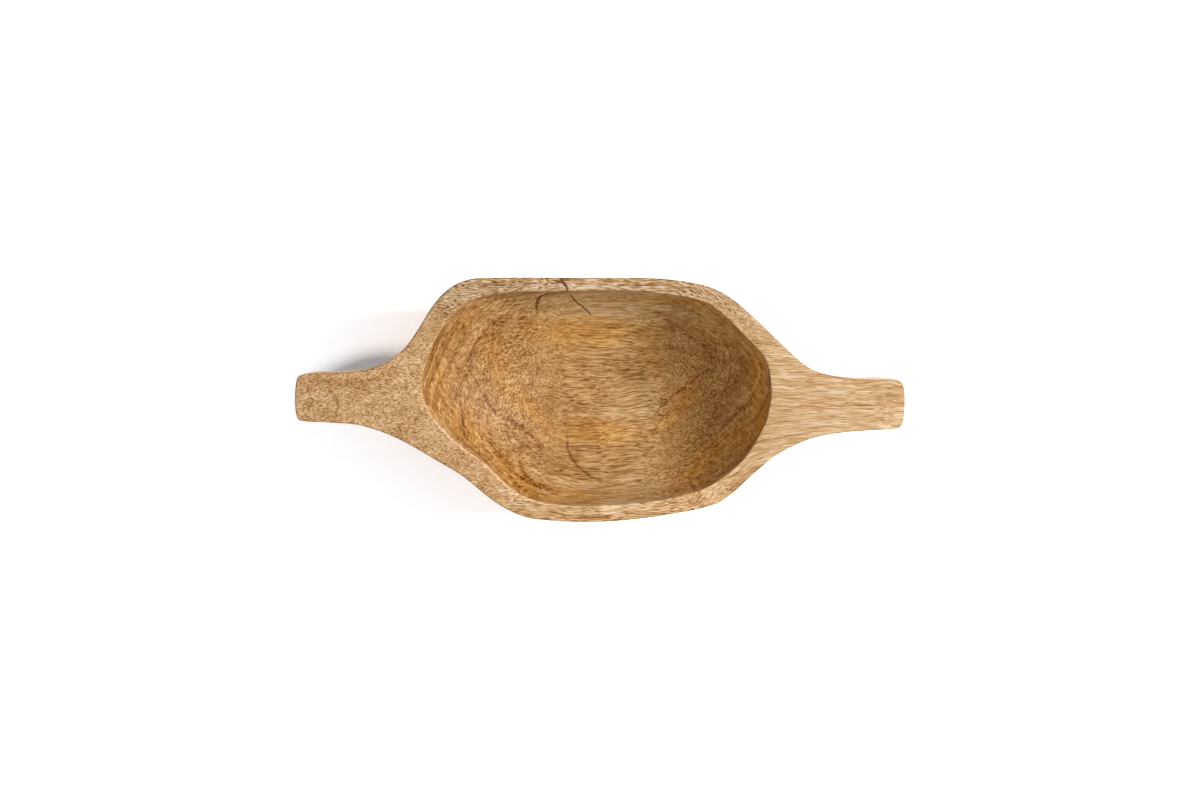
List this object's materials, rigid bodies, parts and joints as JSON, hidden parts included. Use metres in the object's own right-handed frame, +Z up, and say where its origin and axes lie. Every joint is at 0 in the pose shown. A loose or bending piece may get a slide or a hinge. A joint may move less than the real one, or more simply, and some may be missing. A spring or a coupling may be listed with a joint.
{
  "type": "carved wooden bowl",
  "caption": "Long shallow serving bowl carved from one billet of figured hardwood, with a flat handle at each end, an oval hollow, a small flat foot and filled drying cracks in its rim.",
  "frame": {"origin": "centre of the foot, on the surface the bowl stands on", "axes": "+X along the handles towards the right handle, +Y across the bowl towards the cracked side of the rim, +Z up out of the hollow"},
  "size_m": [0.4451, 0.1799, 0.082],
  "materials": {
    "mango_wood": "hand sanded and oiled, satin, with dark pore flecks along the grain",
    "crack_filler": "dark resin and sawdust paste, sanded level"
  },
  "bodies": {
    "root": {"carved_bowl": "mango_wood", "rim_crack_filler": "crack_filler", "left_wall_crack_filler": "crack_filler", "right_wall_crack_filler": "crack_filler"}
  },
  "joints": []
}
